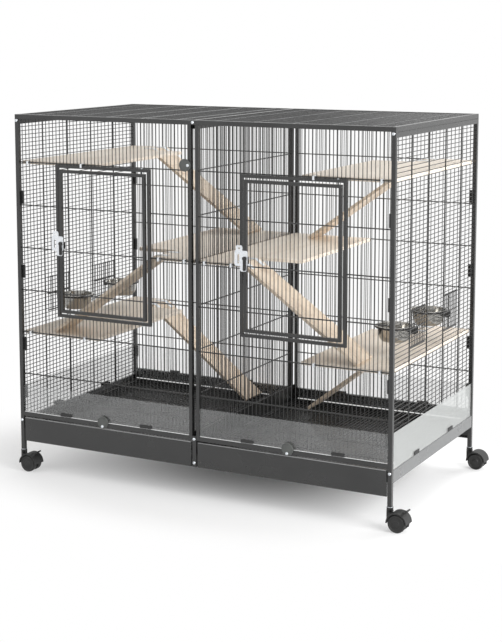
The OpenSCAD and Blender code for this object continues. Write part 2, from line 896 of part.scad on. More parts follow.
// Spun dish with a flat rim
module dish() {
  r = bowl_d / 2;
  knee = bowl_h * 0.28;
  rotate_extrude($fn = 48)
    polygon([[0, 0], [r - 13, 0], [r - 5, knee], [r - 0.5, bowl_h - rim_t], [r + rim_w, bowl_h - rim_t],
      [r + rim_w, bowl_h], [r - 0.5 - bowl_wall, bowl_h], [r - 5 - bowl_wall, knee],
      [r - 13 - bowl_wall / 2, bowl_wall], [0, bowl_wall]]);
}

module bowl(side, row) {
  color(zinc) at_bowl(side, row) translate([0, 0, seat_gap + rim_t - bowl_h]) dish();
}

module bowl_front_left() { bowl(0, 0); }
module bowl_back_left() { bowl(0, 1); }
module bowl_front_right() { bowl(1, 0); }
module bowl_back_right() { bowl(1, 1); }

// Wire ring on a block that clamps to the small grid
clamp_w = 22;
clamp_h = 16;

module bowl_holder() {
  clamp_x = grid_x + cross_t / 2 - bowl_x;
  translate([0, 0, -ring_wire / 2]) rotate_extrude($fn = 48) translate([ring_r, 0]) circle(d = ring_wire, $fn = 16);
  difference() {
    translate([clamp_x, -clamp_w / 2, -clamp_h]) cube([-ring_r - clamp_x, clamp_w, clamp_h]);
    translate([0, 0, -clamp_h - 1]) cylinder(r = ring_r - ring_wire / 2 + 1, h = clamp_h + 2);
  }
}

module bowl_holders() {
  color(black) for (side = sides, row = [0, 1]) at_bowl(side, row) bowl_holder();
}

module bowl_grids() {
  color(zinc)
    for (side = sides, row = [0, 1]) mirrored(side)
      translate([grid_x, bowl_y(row) - grid_w / 2, grid_z]) rotate([0, 0, 90])
        bar_panel(grid_w, grid_h, rods(grid_w, 2), [cross_t, grid_h / 2, grid_h - cross_t]);
}

// ---- casters ----

stem_d = 8;
stem_l = 30;
web_t = 6;
axle_d = 6;
wheel_gap = 0.4;
boss_h = 12;
plate_t = 1.6;
boss_top = caster_h - plate_t - seat_gap - 0.1;
fender_w = 2 * (wheel_w + wheel_gap) + web_t;
pedal_angle = 60;
pedal_r = fender_r + 4;
pedal_pin_d = 3;
pedal_hub_d = 6;
pedal_hub_w = 13;
ear_t = 2.5;
ear_w = 7;

module at_caster(column, row) {
  translate([tube / 2 + column * (cage_w - tube), tube / 2 + row * (cage_d - tube), 0]) children();
}

// Square plug in the post end, with the bore that the stem turns in
module caster_socket() {
  plug = tube - 2 * tube_wall - 2 * run_gap;
  difference() {
    union() {
      translate([-plug / 2, -plug / 2, caster_h]) cube([plug, plug, stem_l + 4]);
      translate([-tube / 2, -tube / 2, caster_h - plate_t]) cube([tube, tube, plate_t]);
    }
    translate([0, 0, caster_h - plate_t - 1]) cylinder(d = stem_d + 2 * run_gap, h = stem_l + 4);
  }
}

module caster_sockets() {
  color(black) for (column = sides, row = [0, 1]) at_caster(column, row) caster_socket();
}

// Places a profile on the axle, its thickness centred on the wheel plane
module on_axle(thickness) {
  translate([trail, thickness / 2, wheel_d / 2]) rotate([90, 0, 0]) children();
}

module pedal_ear() {
  rotate(pedal_angle) {
    translate([fender_r - fender_t + 1, -ear_w / 2]) square([pedal_r - fender_r + fender_t - 1, ear_w]);
    translate([pedal_r, 0]) circle(d = ear_w);
  }
}

// Boss and stem, a web between the twin wheels and a fender over them
module caster_fork(column, row) {
  color(black)
    at_caster(column, row)
      difference() {
        union() {
          translate([0, 0, boss_top - boss_h]) cylinder(d = boss_d, h = boss_h);
          translate([0, 0, boss_top - boss_h]) cylinder(d = stem_d, h = boss_h + stem_l);
          on_axle(web_t) linear_extrude(web_t)
            difference() {
              union() {
                circle(r = fender_r);
                translate([-trail - boss_d / 2, 0]) square([boss_d, boss_top - boss_h / 2 - wheel_d / 2]);
              }
              translate([-wheel_d, -wheel_d - 8]) square([2 * wheel_d, wheel_d]);
            }
          on_axle(fender_w) linear_extrude(fender_w)
            difference() {
              circle(r = fender_r);
              circle(r = fender_r - fender_t);
              translate([-wheel_d, -wheel_d]) square([2 * wheel_d, wheel_d]);
            }
          if (row == 0) {
            for (s = [-1, 1])
              translate([0, s * (pedal_hub_w + ear_t + 2 * seat_gap) / 2, 0])
                on_axle(ear_t) linear_extrude(ear_t) pedal_ear();
            on_axle(pedal_hub_w + 2 * ear_t) rotate([0, 0, pedal_angle]) translate([pedal_r, 0, 0])
              cylinder(d = pedal_pin_d, h = pedal_hub_w + 2 * ear_t);
          }
        }
        translate([trail, wheel_d, wheel_d / 2]) rotate([90, 0, 0])
          cylinder(d = axle_d + 2 * run_gap, h = 2 * wheel_d);
      }
}

module caster_fork_front_left() { caster_fork(0, 0); }
module caster_fork_front_right() { caster_fork(1, 0); }
module caster_fork_back_left() { caster_fork(0, 1); }
module caster_fork_back_right() { caster_fork(1, 1); }

// Twin wheels on their axle
module caster_wheels(column, row) {
  r = wheel_d / 2;
  w = wheel_w / 2;
  color(black)
    at_caster(column, row) translate([trail, 0, r]) rotate([90, 0, 0]) {
      translate([0, 0, -web_t / 2 - wheel_gap - 1]) cylinder(d = axle_d, h = web_t + 2 * wheel_gap + 2);
      for (s = [-1, 1])
        mirror([0, 0, s == 1 ? 0 : 1]) translate([0, 0, web_t / 2 + wheel_gap + w])
          rotate_extrude($fn = 48)
            polygon([[0, -w], [r - 2, -w], [r, 2 - w], [r, w - 2], [r - 2, w], [r - 5, w], [r - 6, w - 1.5],
              [6, w - 1.5], [5, w - 0.5], [0, w - 0.5]]);
    }
}

module caster_wheels_front_left() { caster_wheels(0, 0); }
module caster_wheels_front_right() { caster_wheels(1, 0); }
module caster_wheels_back_left() { caster_wheels(0, 1); }
module caster_wheels_back_right() { caster_wheels(1, 1); }

// Foot pedal on a pin between two ears of the fender
pedal_tilt = 33;
pedal_l = 13.5;
pedal_w = 24;
pedal_t = 4;
pedal_arm_t = 3;

module pedal_profile() {
  rotate(pedal_angle) translate([pedal_r, 0]) rotate(pedal_tilt - pedal_angle) children();
}

module brake_lever(column) {
  color(black)
    at_caster(column, 0) {
      on_axle(pedal_hub_w) linear_extrude(pedal_hub_w) pedal_profile()
        difference() {
          union() {
            circle(d = pedal_hub_d);
            translate([0, -pedal_arm_t / 2]) square([pedal_l - 4, pedal_arm_t]);
          }
          circle(d = pedal_pin_d + 2 * run_gap);
        }
      on_axle(pedal_w) linear_extrude(pedal_w) pedal_profile()
        translate([ear_w / 2 + 1.5, -pedal_t / 2]) square([pedal_l - ear_w / 2 - 1.5, pedal_t]);
    }
}

module brake_lever_left() { brake_lever(0); }
module brake_lever_right() { brake_lever(1); }

assembled() corner_posts();
assembled() centre_posts();
assembled() top_rails();
assembled() front_bottom_rails();
assembled() side_bottom_rails();
assembled() back_plate();
assembled() centre_runner();
assembled() divider_guides();
assembled() roof_grilles();
assembled() side_grille_left();
assembled() side_grille_right();
assembled() back_grilles();
assembled() front_grille_left();
assembled() front_grille_right();
assembled() door_surround_left();
assembled() door_surround_right();
assembled() hinge_pins();
assembled() door_left();
assembled() door_right();
assembled() latch_plate_left();
assembled() latch_plate_right();
assembled() latch_lever_left();
assembled() latch_lever_right();
assembled() divider_panel();
assembled() divider_disc();
assembled() drawer_front_left();
assembled() drawer_front_right();
assembled() drawer_tray_left();
assembled() drawer_tray_right();
assembled() drawer_disc_left();
assembled() drawer_disc_right();
assembled() floor_grates();
assembled() litter_guards();
assembled() panel_clips();
assembled() frame_screws();
assembled() top_platforms();
assembled() middle_platforms();
assembled() lower_platforms();
assembled() top_ramps();
assembled() middle_ramps();
assembled() lower_ramps();
assembled() platform_hooks();
assembled() bowl_grids();
assembled() bowl_holders();
assembled() bowl_front_left();
assembled() bowl_back_left();
assembled() bowl_front_right();
assembled() bowl_back_right();
assembled() caster_sockets();
assembled() caster_fork_front_left();
assembled() caster_fork_front_right();
assembled() caster_fork_back_left();
assembled() caster_fork_back_right();
assembled() caster_wheels_front_left();
assembled() caster_wheels_front_right();
assembled() caster_wheels_back_left();
assembled() caster_wheels_back_right();
assembled() brake_lever_left();
assembled() brake_lever_right();
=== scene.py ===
# %% [markdown]
# # A two-room ferret cage on casters
# The cage is a dark wire box on four twin-wheel casters, split in two rooms by a slide-out divider.
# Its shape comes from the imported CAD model, one object for each part. This notebook gives every part
# its finish, replaces the parts that need softer shapes, and sets up the floor, the light and the camera.

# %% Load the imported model
import json
import math

import bmesh
import bpy
from mathutils import Matrix, Vector

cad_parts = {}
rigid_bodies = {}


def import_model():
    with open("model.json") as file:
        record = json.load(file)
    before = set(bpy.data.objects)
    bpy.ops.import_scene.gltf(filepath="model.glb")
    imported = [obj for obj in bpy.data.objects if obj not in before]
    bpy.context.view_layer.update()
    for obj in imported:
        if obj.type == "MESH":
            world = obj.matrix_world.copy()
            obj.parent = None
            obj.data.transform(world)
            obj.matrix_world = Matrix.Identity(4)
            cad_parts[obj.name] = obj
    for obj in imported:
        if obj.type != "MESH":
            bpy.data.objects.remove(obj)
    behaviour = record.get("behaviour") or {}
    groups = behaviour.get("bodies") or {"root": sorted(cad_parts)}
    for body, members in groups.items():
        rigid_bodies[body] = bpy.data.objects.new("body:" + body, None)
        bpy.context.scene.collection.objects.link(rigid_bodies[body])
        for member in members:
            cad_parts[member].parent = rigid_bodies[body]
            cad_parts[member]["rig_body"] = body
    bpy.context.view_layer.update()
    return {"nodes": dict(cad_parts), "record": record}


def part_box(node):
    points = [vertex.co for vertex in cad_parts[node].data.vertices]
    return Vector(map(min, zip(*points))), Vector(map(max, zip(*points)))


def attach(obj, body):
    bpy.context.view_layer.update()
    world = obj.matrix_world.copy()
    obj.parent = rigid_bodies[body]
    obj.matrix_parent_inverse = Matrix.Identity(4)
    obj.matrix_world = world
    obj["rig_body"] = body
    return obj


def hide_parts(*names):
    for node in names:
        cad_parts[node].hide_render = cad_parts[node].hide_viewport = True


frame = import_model()
nodes = frame["nodes"]

# %% [markdown]
# The picture was taken from the right of the front, a little above the roof. Its uprights are almost
# parallel, as with a camera held level and a lens slid down. Some of that slide is kept as lens shift,
# and the camera tilts for the rest. Distances in pixels are turned into the lens length with the 36 mm
# sensor, whose long side is the 642 px height of the picture.

# %% Camera
picture_h = 642
sensor_mm = 36.0
focal_px = 1484.1
shift_px = -100.0
tilt_down, turn_left = 7.52, 27.45
camera = bpy.data.objects.new("camera", bpy.data.cameras.new("camera"))
bpy.context.scene.collection.objects.link(camera)
bpy.context.scene.camera = camera
camera.data.sensor_width = sensor_mm
camera.data.lens = focal_px * sensor_mm / picture_h
camera.data.shift_y = shift_px / picture_h
camera.location = (1.99905, -3.8685, 1.3319)
camera.rotation_euler = (math.radians(90 - tilt_down), 0, math.radians(turn_left))
camera.data.clip_end = 60
print("lens", round(camera.data.lens, 1), "mm, shift", round(camera.data.shift_y, 3))

# %% [markdown]
# A finish is a shader and a few textures that vary it. These helpers add a node, link two, calculate with
# numbers, place a pattern on the part in metres, and turn a pattern into a range of numbers, into colours
# or into small bumps, so that each finish below stays a short list. A value is a setting of the node if
# the node has one of that name, such as an operation, and otherwise goes to its input.

# %% Helpers for finishes
def new_finish(name, colour, roughness, metallic=0.0):
    material = bpy.data.materials.new(name)
    material.use_nodes = True
    shader = material.node_tree.nodes["Principled BSDF"]
    shader.inputs["Base Color"].default_value = (*colour, 1)
    shader.inputs["Roughness"].default_value = roughness
    shader.inputs["Metallic"].default_value = metallic
    return material, shader


def add(material, kind, **values):
    node = material.node_tree.nodes.new(kind)
    for key, value in values.items():
        if hasattr(node, key):
            setattr(node, key, value)
        else:
            node.inputs[key.replace("_", " ")].default_value = value
    return node


def join(material, out, into):
    material.node_tree.links.new(out, into)


def maths(material, operation, first, second=None, clamp=False):
    node = add(material, "ShaderNodeMath", operation=operation, use_clamp=clamp)
    for socket, value in zip(node.inputs, (first, second)):
        if isinstance(value, bpy.types.NodeSocket):
            join(material, value, socket)
        elif value is not None:
            socket.default_value = value
    return node.outputs[0]


def placed(material, stretch=(1, 1, 1)):
    coordinates = add(material, "ShaderNodeTexCoord")
    mapping = add(material, "ShaderNodeMapping")
    mapping.inputs["Scale"].default_value = stretch
    join(material, coordinates.outputs["Object"], mapping.inputs["Vector"])
    return mapping.outputs["Vector"]


def noise(material, where, scale, detail=4.0, roughness=0.5):
    texture = add(material, "ShaderNodeTexNoise", Scale=scale, Detail=detail, Roughness=roughness)
    join(material, where, texture.inputs["Vector"])
    return texture.outputs["Fac"]


def spread(material, factor, low, high, start=0.3, end=0.7):
    node = add(material, "ShaderNodeMapRange")
    for key, value in (("From Min", start), ("From Max", end), ("To Min", low), ("To Max", high)):
        node.inputs[key].default_value = value
    join(material, factor, node.inputs["Value"])
    return node.outputs["Result"]


def tint(material, factor, low, high, start=0.3, end=0.7):
    ramp = add(material, "ShaderNodeValToRGB")
    for stop, place, colour in zip(ramp.color_ramp.elements, (start, end), (low, high)):
        stop.position, stop.color = place, (*colour, 1)
    join(material, factor, ramp.inputs["Fac"])
    return ramp.outputs["Color"]


def bumps(material, shader, factor, distance, strength):
    bump = add(material, "ShaderNodeBump", Strength=strength, Distance=distance)
    join(material, factor, bump.inputs["Height"])
    join(material, bump.outputs["Normal"], shader.inputs["Normal"])


print("helpers ready")

# %% [markdown]
# The frame, the grilles and the drawers are powder coated: dark grey, satin, with the fine orange peel
# that baked powder leaves. A slow change of roughness and a trace of pale dust keep large plates alive.
# The side rails get a paler coat, painted light that stands in for the bright light on the right-hand faces;
# the same coat is a painted highlight on the roof's cross rods, and a still paler coat makes a painted
# highlight along the drawers' folded edges.

# %% Powder coat
def powder_coat(name, clean, dusty, roughness, gloss):
    material, shader = new_finish(name, clean, roughness)
    shader.inputs["Specular IOR Level"].default_value = gloss
    where = placed(material)
    peel = noise(material, where, scale=900, detail=2)
    cloud = noise(material, where, scale=7, detail=5)
    join(material, tint(material, cloud, clean, dusty), shader.inputs["Base Color"])
    join(material, spread(material, cloud, roughness - 0.07, roughness + 0.07), shader.inputs["Roughness"])
    bumps(material, shader, peel, distance=0.0001, strength=0.12)
    return material


charcoal = powder_coat("charcoal_coat", (0.012, 0.0122, 0.0121), (0.022, 0.0223, 0.0221), 0.26, 0.66)
# Paler coat: painted light, for faces that the light from the right makes bright.
painted_light_coat = powder_coat("painted_light_side_coat", (0.11, 0.113, 0.114), (0.135, 0.138, 0.139), 0.3, 0.6)
wire_coat = powder_coat("wire_coat", (0.012, 0.012, 0.0118), (0.019, 0.019, 0.0185), 0.3, 0.5)
back_coat = powder_coat("back_coat", (0.045, 0.0455, 0.0435), (0.068, 0.0685, 0.066), 0.34, 0.6)
# Palest coat: a painted highlight for the drawers' top folds.
painted_highlight_coat = powder_coat("painted_highlight_coat", (0.22, 0.223, 0.226), (0.32, 0.323, 0.326), 0.3, 0.8)
print("coats:", [coat.name for coat in (charcoal, painted_light_coat, wire_coat, back_coat, painted_highlight_coat)])

# %% [markdown]
# Screws, latches and hooks are zinc plated. Zinc freezes in crystals, so pale and darker patches a few
# millimetres wide change its colour, and fine lines change how sharply it shines.

# %% Zinc plate
def zinc_plate(name, pale, dark, roughness):
    material, shader = new_finish(name, pale, roughness, metallic=1.0)
    where = placed(material)
    crystals = add(material, "ShaderNodeTexVoronoi", Scale=260.0)
    join(material, where, crystals.inputs["Vector"])
    patches = tint(material, crystals.outputs["Distance"], pale, dark, start=0.1, end=0.8)
    join(material, patches, shader.inputs["Base Color"])
    haze = noise(material, where, scale=120, detail=6)
    join(material, spread(material, haze, roughness - 0.08, roughness + 0.12), shader.inputs["Roughness"])
    grain = noise(material, where, scale=1500, detail=2)
    bumps(material, shader, grain, distance=0.0001, strength=0.2)
    return material


zinc = zinc_plate("zinc_plate", (0.84, 0.865, 0.89), (0.66, 0.685, 0.715), 0.34)
print("plate:", zinc.name)

# %% [markdown]
# The dishes are spun stainless steel. The polishing wheel leaves rings round the dish, and because a
# dish stands upright, rings of equal height follow them: the pattern is stretched flat in x and y.

# %% Polished steel
bowl_steel, shader = new_finish("bowl_steel", (0.42, 0.41, 0.39), 0.12, metallic=1.0)
rings = noise(bowl_steel, placed(bowl_steel, (2, 2, 600)), scale=3, detail=3)
smudge = noise(bowl_steel, placed(bowl_steel), scale=28, detail=5)
join(bowl_steel, tint(bowl_steel, rings, (0.33, 0.32, 0.3), (0.5, 0.49, 0.46)), shader.inputs["Base Color"])
join(bowl_steel, spread(bowl_steel, smudge, 0.07, 0.18), shader.inputs["Roughness"])
bumps(bowl_steel, shader, rings, distance=0.0001, strength=0.12)
print("steel:", bowl_steel.name)

# %% [markdown]
# Clips, latch levers, discs and casters are moulded plastic: black or dark grey, with a spark-eroded
# texture that scatters light, and a slightly glossier skin on the wheels, which rub clean.

# %% Moulded plastic
def moulded(name, colour, worn, roughness, grain):
    material, shader = new_finish(name, colour, roughness)
    where = placed(material)
    skin = noise(material, where, scale=grain, detail=3)
    rub = noise(material, where, scale=45)
    join(material, tint(material, rub, colour, worn), shader.inputs["Base Color"])
    join(material, spread(material, rub, roughness - 0.08, roughness + 0.1), shader.inputs["Roughness"])
    bumps(material, shader, skin, distance=0.00015, strength=0.3)
    return material


black_plastic = moulded("black_plastic", (0.016, 0.016, 0.016), (0.026, 0.026, 0.026), 0.6, 1800)
disc_plastic = moulded("disc_plastic", (0.075, 0.08, 0.077), (0.1, 0.105, 0.1), 0.45, 1800)
wheel_plastic = moulded("wheel_plastic", (0.008, 0.008, 0.008), (0.015, 0.015, 0.0145), 0.5, 1200)
print("plastics:", black_plastic.name, disc_plastic.name, wheel_plastic.name)

# %% [markdown]
# The litter guards are thin clear sheets. Real refraction costs many light paths and shows nothing here:
# such a sheet sends back a little of the light as a dull mirror would, more of it the flatter one looks
# along it, and lets the rest straight through. So its shader is a grey mirror that is almost transparent,
# and the angle of view says how much of it is there: over white the sheet all but vanishes, over the dark
# floor it leaves a pale veil. The cut edge gets a painted glow: a pale emission, no lamp, that stands in
# for the light a real sheet carries to its edge.

# %% Clear sheet
clear_sheet, shader = new_finish("clear_sheet", (0.93, 0.95, 0.96), 0.12, metallic=1.0)
scratch = noise(clear_sheet, placed(clear_sheet, (1, 1, 14)), scale=60, detail=6)
join(clear_sheet, spread(clear_sheet, scratch, 0.36, 0.5), shader.inputs["Roughness"])
slant = add(clear_sheet, "ShaderNodeLayerWeight", Blend=0.5).outputs["Facing"]
mirror = tint(clear_sheet, slant, (0.62, 0.63, 0.63), (0.84, 0.86, 0.85), start=0.3, end=0.62)
join(clear_sheet, mirror, shader.inputs["Base Color"])
veil = spread(clear_sheet, slant, 0.13, 0.42, start=0.35, end=0.64)
haze = spread(clear_sheet, scratch, -0.015, 0.02)
join(clear_sheet, maths(clear_sheet, "ADD", veil, haze, clamp=True), shader.inputs["Alpha"])
bumps(clear_sheet, shader, scratch, distance=0.0001, strength=0.1)
# The painted glow of the cut edge: a pale emission, though the edge is no lamp.
painted_glow_edge, shader = new_finish("painted_glow_edge", (0.93, 0.95, 0.96), 0.35)
saw = noise(painted_glow_edge, placed(painted_glow_edge, (900, 1, 1)), scale=1, detail=3)
join(painted_glow_edge, tint(painted_glow_edge, saw, (0.86, 0.88, 0.89), (0.95, 0.96, 0.97)), shader.inputs["Base Color"])
shader.inputs["Emission Color"].default_value = (1, 1, 1, 1)
shader.inputs["Emission Strength"].default_value = 0.55
bumps(painted_glow_edge, shader, saw, distance=0.0001, strength=0.3)
print("sheet:", clear_sheet.name, painted_glow_edge.name)

# %% [markdown]
# Platforms are bare birch plywood and the ramps a warmer, ribbed board. Fibres are noise stretched along
# the board, and a slower noise bends them. The edges of a board show its plies, one above another, so
# there the height decides between pale and brown, counted from the underside of each of three levels.
# The direction of a face says which surface is an edge. A Mix node has sockets for every kind of data,
# so its two colours and its mixed colour are found by number.

# %% Wood
board_t = 0.01
plies = 7


def ply_bands(material, top, rise):
    split = add(material, "ShaderNodeSeparateXYZ")
    join(material, placed(material), split.inputs[0])
    above = maths(material, "SUBTRACT", split.outputs["Z"], top - board_t)
    within = maths(material, "FLOORED_MODULO", above, rise)
    wave = maths(material, "MULTIPLY", within, math.pi * plies / board_t)
    return maths(material, "SINE", wave)


def on_edges(material, face_colour, edge_colour):
    geometry = add(material, "ShaderNodeNewGeometry")
    split = add(material, "ShaderNodeSeparateXYZ")
    join(material, geometry.outputs["Normal"], split.inputs[0])
    upright = maths(material, "ABSOLUTE", split.outputs["Z"])
    mix = add(material, "ShaderNodeMix", data_type="RGBA")
    first_colour, second_colour, mixed_colour = mix.inputs[6], mix.inputs[7], mix.outputs[2]
    join(material, spread(material, upright, 1, 0, start=0.2, end=0.6), mix.inputs["Factor"])
    join(material, face_colour, first_colour)
    join(material, edge_colour, second_colour)
    return mixed_colour


def wood(name, pale, dark, along, slow, roughness):
    material, shader = new_finish(name, pale, roughness)
    fibre = noise(material, placed(material, along), scale=1, detail=6, roughness=0.6)
    figure = noise(material, placed(material, slow), scale=1, detail=3)
    both = maths(material, "ADD", fibre, figure)
    face = tint(material, both, dark, pale, start=0.78, end=1.16)
    join(material, spread(material, fibre, roughness + 0.08, roughness - 0.08), shader.inputs["Roughness"])
    bumps(material, shader, fibre, distance=0.0004, strength=0.3)
    return material, shader, face


lower_top, middle_top = (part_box(level)[1][2] for level in ("lower_platforms", "middle_platforms"))
plywood, shader, face = wood("birch_plywood", pale=(0.785, 0.7, 0.6), dark=(0.71, 0.62, 0.515),
                             along=(160, 7, 160), slow=(14, 2.5, 14), roughness=0.4)
bands = ply_bands(plywood, lower_top, middle_top - lower_top)
edge = tint(plywood, bands, (0.69, 0.585, 0.465), (0.87, 0.81, 0.74), start=-0.5, end=0.5)
join(plywood, on_edges(plywood, face, edge), shader.inputs["Base Color"])
ramp_board, shader, face = wood("ramp_board", pale=(0.72, 0.61, 0.49), dark=(0.555, 0.448, 0.345),
                                along=(7, 160, 160), slow=(3, 18, 18), roughness=0.6)
join(ramp_board, face, shader.inputs["Base Color"])
print("woods:", plywood.name, ramp_board.name)

# %% [markdown]
# Each part takes its finish by the kind of thing it is. The wires are coated like the frame, but thin
# rods look darker than plates, so they have a coat of their own. The grilles of the back are lit from
# behind and look paler than the rest.

# %% Dress the parts
# The side_paint parts take the paler coat, which is painted light.
by_slot = {"charcoal_paint": charcoal, "side_paint": painted_light_coat, "zinc": zinc, "bowl_steel": bowl_steel,
           "black_plastic": black_plastic, "wheel_plastic": wheel_plastic, "clear_plastic": clear_sheet,
           "plywood": plywood, "ramp_wood": ramp_board}
wired = ["bowl_grids", "side_grille_left", "side_grille_right", "front_grille_left",
         "front_grille_right", "divider_panel", "floor_grates"]
own_coat = {name: wire_coat for name in wired} | {"back_grilles": back_coat}
slots = {part["node"]: part["material_slot"] for part in frame["record"]["subparts"]}
for name, part in nodes.items():
    part.data.materials.clear()
    part.data.materials.append(own_coat.get(name, by_slot[slots[name]]))
print("dressed", len(nodes), "parts")

# %% [markdown]
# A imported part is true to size, but it is a shell of loose triangles with razor edges. Real edges catch
# a line of light. So a copy is merged, its flat faces are joined up again, and only the long outward
# corners are rounded: those of small holes and thin rods would add faces that nobody sees. The copy
# stands in for the part and moves with the same body. Boxes, rods and joined shapes help to build the
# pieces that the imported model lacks.

# %% Helpers for shapes
smooth_below = math.radians(50)
sharp_above = 0.9
flat_within = 0.01
touching = 1e-6


def merged_copy(name):
    shape = bmesh.new()
    shape.from_mesh(nodes[name].data)
    bmesh.ops.remove_doubles(shape, verts=shape.verts, dist=touching)
    bmesh.ops.dissolve_limit(shape, angle_limit=flat_within, verts=shape.verts, edges=shape.edges)
    return shape


def corners(shape, shortest):
    return [edge for edge in shape.edges if len(edge.link_faces) == 2
            and edge.calc_length() > shortest and edge.calc_face_angle_signed() > sharp_above]


def rounded(shape, edges, radius, segments=2):
    bmesh.ops.bevel(shape, geom=edges, offset=radius, offset_type="OFFSET", segments=segments,
                    profile=0.5, affect="EDGES", clamp_overlap=True, material=-1)


def moved(shape, way):
    bmesh.ops.translate(shape, vec=way, verts=shape.verts)


def turned_about_x(shape, degrees):
    turn = Matrix.Rotation(math.radians(degrees), 3, "X")
    bmesh.ops.rotate(shape, cent=(0, 0, 0), matrix=turn, verts=shape.verts)


def box_between(low, high):
    shape = bmesh.new()
    bmesh.ops.create_cube(shape, size=1)
    bmesh.ops.scale(shape, vec=Vector(high) - Vector(low), verts=shape.verts)
    moved(shape, (Vector(high) + Vector(low)) / 2)
    return shape


def upright_rod(radius, length, steps):
    shape = bmesh.new()
    bmesh.ops.create_cone(shape, cap_ends=True, segments=steps, radius1=radius, radius2=radius, depth=length)
    return shape


def joined(shapes):
    whole = bmesh.new()
    for part in shapes:
        scrap = bpy.data.meshes.new("scrap")
        part.to_mesh(scrap)
        whole.from_mesh(scrap)
        part.free()
        bpy.data.meshes.remove(scrap)
    return whole


def finished(shape, name, finish, like, *replaced):
    mesh = bpy.data.meshes.new(name)
    shape.to_mesh(mesh)
    shape.free()
    mesh.shade_smooth()
    mesh.set_sharp_from_angle(angle=smooth_below)
    mesh.materials.append(finish)
    piece = bpy.data.objects.new(name, mesh)
    bpy.context.scene.collection.objects.link(piece)
    even = piece.modifiers.new("even_shading", "WEIGHTED_NORMAL")
    even.keep_sharp = True
    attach(piece, nodes[like]["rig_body"])
    if replaced:
        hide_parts(*replaced)
    return piece


def softened(name, radius, shortest):
    shape = merged_copy(name)
    edges = corners(shape, shortest)
    rounded(shape, edges, radius)
    piece = finished(shape, name + "_soft", nodes[name].data.materials[0], name, name)
    print(name, len(edges), "corners,", len(piece.data.polygons), "faces")


print("smooth below", round(math.degrees(smooth_below)), "degrees")

# %% [markdown]
# Square tube comes off the mill with corners about as round as its wall is thick, 1.2 mm. Bars of solid
# steel and wooden edges are eased less, stamped plates only lose their burr, and moulded parts get up to
# 1 mm. Each row holds a radius, the shortest edge that gets it, and the parts.

# %% Ease the corners
sides = ("left", "right")
wheel_places = ("front_left", "front_right", "back_left", "back_right")
easings = [
    (0.0012, 0.006, ["corner_posts", "centre_posts", "top_rails", "front_bottom_rails"]),
    (0.0008, 0.02, ["door_surround_left", "door_surround_right", "door_left", "door_right", "divider_panel"]),
    (0.0004, 0.01, ["back_plate", "centre_runner", "divider_guides"]),
    (0.0008, 0.02, ["top_platforms", "middle_platforms", "lower_platforms"]),
    (0.0005, 0.002, ["top_ramps", "middle_ramps", "lower_ramps"]),
    (0.0004, 0.0003, ["latch_plate_left", "latch_plate_right", "latch_lever_left", "latch_lever_right"]),
    (0.001, 0.003, ["panel_clips", "bowl_holders"]),
    (0.0003, 0.0004, ["platform_hooks", "hinge_pins"]),
    (0.0009, 0.002, ["caster_fork_" + place for place in wheel_places]),
    (0.0006, 0.002, ["brake_lever_" + side for side in sides]),
]
for radius, shortest, names in easings:
    for name in names:
        softened(name, radius, shortest)

# %% [markdown]
# Each kick plate is one sheet folded back along its four edges, and each litter tray is a pan with its
# walls bent up. A box without one side has the right corners: its folds are rounded with the bend's
# radius, and Solidify then gives the sheet its thickness on the inside, so the outside keeps its size.

# %% Folded pans
sheet_t = 0.0015
bend, bend_steps = 0.0024, 4
y_axis, z_axis = 1, 2
nearly = 0.9


def thickened(piece):
    wall = piece.modifiers.new("sheet", "SOLIDIFY")
    wall.thickness, wall.offset, wall.use_even_offset = sheet_t, -1, True
    piece.modifiers.move(1, 0)


def folded_pan(name, open_axis, bent_sides):
    shape = box_between(*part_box(name))
    lid = [face for face in shape.faces if face.normal[open_axis] > nearly]
    bmesh.ops.delete(shape, geom=lid, context="FACES_ONLY")
    base = [face for face in shape.faces if face.normal[open_axis] < -nearly][0]
    folds = [edge for edge in shape.edges
             if edge in base.edges[:] or (bent_sides and len(edge.link_faces) == 2)]
    rounded(shape, folds, bend, bend_steps)
    piece = finished(shape, name + "_folded", charcoal, name, name)
    thickened(piece)
    print(piece.name, len(folds), "folds")


for side in sides:
    folded_pan("drawer_front_" + side, y_axis, bent_sides=False)
    folded_pan("drawer_tray_" + side, z_axis, bent_sides=True)

# %% [markdown]
# The grey rail under each side grille is sheet too, folded to a channel that carries the drawer, with
# one more ledge welded inside for the floor grate. Its outline is drawn as a line, extruded along the
# cage, and its folds are rounded before it gets its thickness. An open sheet has no inside, so each face
# is told which way is out: up on the ledge, and elsewhere away from the middle of the channel.

# %% Side rails
rail_low, rail_high = (Vector(corner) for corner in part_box("side_bottom_rails"))
rail_return, rail_ledge = 0.0117, 0.026
grate_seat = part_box("floor_grates")[0][2]


def line_along_y(shape, points):
    line = [shape.verts.new((x, rail_low.y, z)) for x, z in points]
    edges = [shape.edges.new(pair) for pair in zip(line, line[1:])]
    made = bmesh.ops.extrude_edge_only(shape, edges=edges)
    far_end = [item for item in made["geom"] if isinstance(item, bmesh.types.BMVert)]
    bmesh.ops.translate(shape, vec=(0, rail_high.y - rail_low.y, 0), verts=far_end)


